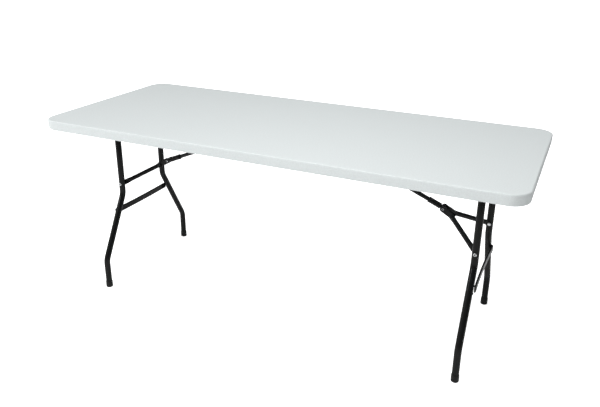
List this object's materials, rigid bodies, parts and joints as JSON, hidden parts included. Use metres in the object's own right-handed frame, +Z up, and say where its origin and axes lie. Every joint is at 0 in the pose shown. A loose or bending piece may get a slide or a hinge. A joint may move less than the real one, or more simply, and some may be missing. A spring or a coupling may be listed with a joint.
{
  "type": "folding table",
  "caption": "Rectangular folding banquet table: pale hollow moulded top with a deep rim, dark bent-tube leg frames that fold under it on jointed braces.",
  "frame": {"origin": "on the floor under the middle of the top, standing open", "axes": "+X along the length of the top to the right end, +Y to the rear long side, +Z up"},
  "size_m": [1.829, 0.762, 0.75],
  "materials": {
    "moulded_top": "fine-grained pale grey-white moulded polyethylene",
    "powder_coat": "charcoal powder coat with a fine hammered speckle",
    "black_plastic": "satin black plastic",
    "zinc_plate": "bright zinc plate"
  },
  "bodies": {
    "top": {"tabletop": "moulded_top", "side_rail_front": "powder_coat", "side_rail_rear": "powder_coat", "strut_bracket_left": "powder_coat", "strut_bracket_right": "powder_coat", "strut_pin_left": "zinc_plate", "strut_pin_right": "zinc_plate", "rail_screws": "zinc_plate", "bracket_screws": "zinc_plate"},
    "legs_right": {"leg_front_right": "powder_coat", "leg_rear_right": "powder_coat", "axle_tube_right": "powder_coat", "axle_caps_right": "black_plastic", "crossbar_right": "powder_coat", "foot_cap_front_right": "black_plastic", "foot_cap_rear_right": "black_plastic", "leg_rivets_right": "zinc_plate"},
    "strut_right": {"strut_right": "powder_coat"},
    "lock_right": {"lock_sleeve_right": "powder_coat"},
    "yoke_right": {"hub_channel_right": "powder_coat", "arm_front_right": "powder_coat", "arm_rear_right": "powder_coat", "knee_rivet_right": "zinc_plate", "knee_spacers_right": "zinc_plate", "arm_rivets_right": "zinc_plate"},
    "legs_left": {"leg_front_left": "powder_coat", "leg_rear_left": "powder_coat", "axle_tube_left": "powder_coat", "axle_caps_left": "black_plastic", "crossbar_left": "powder_coat", "foot_cap_front_left": "black_plastic", "foot_cap_rear_left": "black_plastic", "leg_rivets_left": "zinc_plate"},
    "strut_left": {"strut_left": "powder_coat"},
    "lock_left": {"lock_sleeve_left": "powder_coat"},
    "yoke_left": {"hub_channel_left": "powder_coat", "arm_front_left": "powder_coat", "arm_rear_left": "powder_coat", "knee_rivet_left": "zinc_plate", "knee_spacers_left": "zinc_plate", "arm_rivets_left": "zinc_plate"}
  },
  "joints": [
    {"name": "fold_right", "type": "hinge", "parent": "top", "child": "legs_right", "pos_m": [0.75, 0, 0.712], "axis": [0, 1, 0], "range_deg": [0, 90]},
    {"name": "strut_swing_right", "type": "hinge", "parent": "top", "child": "strut_right", "pos_m": [0.13, 0, 0.712], "axis": [0, -1, 0], "range_deg": [0, 22.85]},
    {"name": "knee_right", "type": "hinge", "parent": "strut_right", "child": "yoke_right", "pos_m": [0.59966, 0, 0.51455], "axis": [0, 1, 0], "range_deg": [0, 173.18]},
    {"name": "lock_slide_right", "type": "slide", "parent": "strut_right", "child": "lock_right", "axis": [-0.9218, 0, 0.3876], "range_m": [0, 0.06]},
    {"name": "fold_left", "type": "hinge", "parent": "top", "child": "legs_left", "pos_m": [-0.75, 0, 0.712], "axis": [0, -1, 0], "range_deg": [0, 90]},
    {"name": "strut_swing_left", "type": "hinge", "parent": "top", "child": "strut_left", "pos_m": [-0.13, 0, 0.712], "axis": [0, 1, 0], "range_deg": [0, 22.85]},
    {"name": "knee_left", "type": "hinge", "parent": "strut_left", "child": "yoke_left", "pos_m": [-0.59966, 0, 0.51455], "axis": [0, -1, 0], "range_deg": [0, 173.18]},
    {"name": "lock_slide_left", "type": "slide", "parent": "strut_left", "child": "lock_left", "axis": [0.9218, 0, 0.3876], "range_m": [0, 0.06]}
  ],
  "couplings": [
    {"joint": "strut_swing_right", "follows": "fold_right", "ratio": 0.25336},
    {"joint": "knee_right", "follows": "fold_right", "ratio": 1.9208},
    {"joint": "strut_swing_left", "follows": "fold_left", "ratio": 0.25336},
    {"joint": "knee_left", "follows": "fold_left", "ratio": 1.9208}
  ]
}
